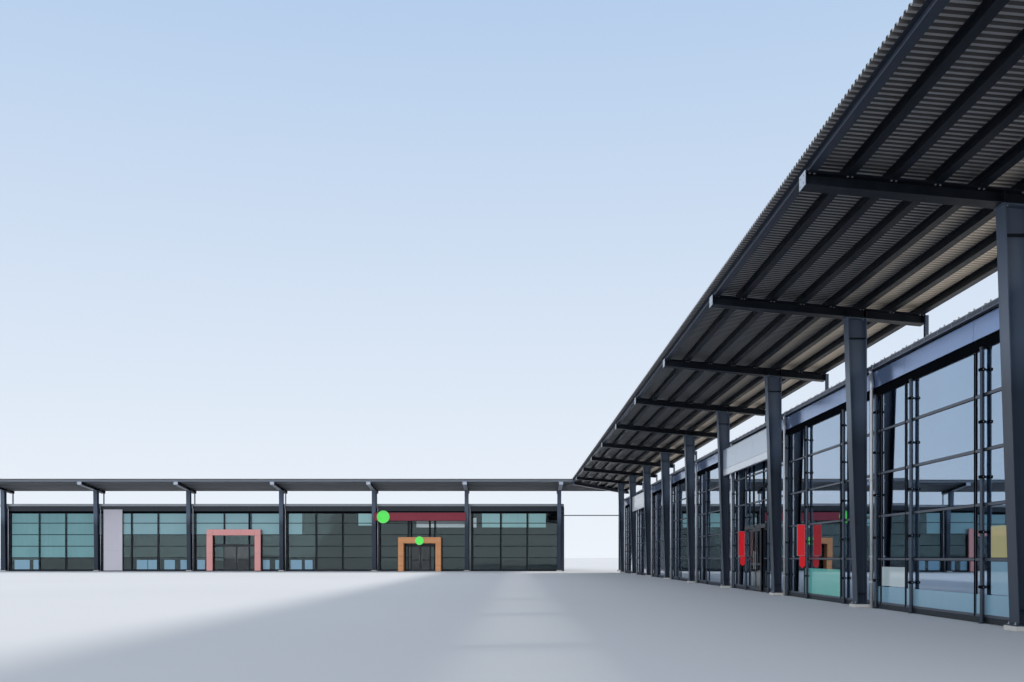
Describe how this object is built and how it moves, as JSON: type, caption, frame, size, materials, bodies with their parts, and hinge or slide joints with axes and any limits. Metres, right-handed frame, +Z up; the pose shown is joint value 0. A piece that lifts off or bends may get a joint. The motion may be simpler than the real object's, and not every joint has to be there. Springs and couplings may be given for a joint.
{
  "type": "supermarket building, 1:10 scale model",
  "caption": "L-shaped retail building with glazed shop fronts under a shared, mitred steel canopy on tapered columns, with sliding entrance doors; scale model 1:10.",
  "frame": {"origin": "on the ground, in the middle of the plan's bounding box", "axes": "+Z up, +Y along the side wing towards the back wing, +X from the open yard into the side wing; the back wing's shop front faces -Y and the side wing's faces -X"},
  "size_m": [6.967, 9.81, 0.7736],
  "materials": {
    "concrete": "matt",
    "grout": "matt",
    "wall_cladding": "satin",
    "roof_panels": "satin",
    "front_steel": "satin",
    "front_glass": "gloss",
    "fascia_panels": "satin",
    "zinc": "satin",
    "canopy_steel": "satin",
    "canopy_sheet": "satin",
    "timber": "satin",
    "rose_paint": "satin",
    "door_frames": "satin",
    "sign_red": "gloss",
    "sign_green": "gloss",
    "sign_pale": "gloss",
    "sign_grey": "satin",
    "blade_red": "gloss"
  },
  "bodies": {
    "building": {"floors": "concrete", "side_walls": "wall_cladding", "back_walls": "wall_cladding", "side_roof": "roof_panels", "back_roof": "roof_panels", "plinths": "front_steel", "front_frames": "front_steel", "side_glass": "front_glass", "back_glass": "front_glass", "side_cover_strips": "front_steel", "back_cover_strips": "front_steel", "front_posts": "front_steel", "eaves_beams": "front_steel", "side_fascia": "fascia_panels", "back_fascia": "fascia_panels", "gutters": "zinc", "downpipes": "zinc", "column_pads": "grout", "side_columns": "canopy_steel", "back_columns": "canopy_steel", "side_rafters": "canopy_steel", "back_rafters": "canopy_steel", "side_purlins": "canopy_steel", "back_purlins": "canopy_steel", "edge_beams": "canopy_steel", "side_canopy_sheet": "canopy_sheet", "back_canopy_sheet": "canopy_sheet", "canopy_ties": "canopy_steel", "mitre_beam": "canopy_steel", "corner_column": "canopy_steel", "passage_tie": "canopy_steel", "timber_portal": "timber", "painted_portal": "rose_paint", "door_headers": "front_steel", "market_sign_band": "sign_red", "round_signs": "sign_green", "shop_sign_boards": "sign_pale", "sign_panel": "sign_grey", "blade_signs": "blade_red"},
    "market_left": {"market_leaf_left": "door_frames"},
    "market_right": {"market_leaf_right": "door_frames"},
    "painted_left": {"painted_leaf_left": "door_frames"},
    "painted_right": {"painted_leaf_right": "door_frames"},
    "shop_left": {"shop_leaf_left": "door_frames"},
    "shop_right": {"shop_leaf_right": "door_frames"}
  },
  "joints": [
    {"name": "market_left_slide", "type": "slide", "parent": "building", "child": "market_left", "axis": [-1, 0, 0], "range_m": [0, 0.08]},
    {"name": "market_right_slide", "type": "slide", "parent": "building", "child": "market_right", "axis": [1, 0, 0], "range_m": [0, 0.08]},
    {"name": "painted_left_slide", "type": "slide", "parent": "building", "child": "painted_left", "axis": [-1, 0, 0], "range_m": [0, 0.108]},
    {"name": "painted_right_slide", "type": "slide", "parent": "building", "child": "painted_right", "axis": [1, 0, 0], "range_m": [0, 0.108]},
    {"name": "shop_left_slide", "type": "slide", "parent": "building", "child": "shop_left", "axis": [0, 1, 0], "range_m": [0, 0.076]},
    {"name": "shop_right_slide", "type": "slide", "parent": "building", "child": "shop_right", "axis": [0, -1, 0], "range_m": [0, 0.076]}
  ],
  "couplings": [
    {"joint": "market_right_slide", "follows": "market_left_slide", "ratio": 1},
    {"joint": "painted_right_slide", "follows": "painted_left_slide", "ratio": 1},
    {"joint": "shop_right_slide", "follows": "shop_left_slide", "ratio": 1}
  ]
}
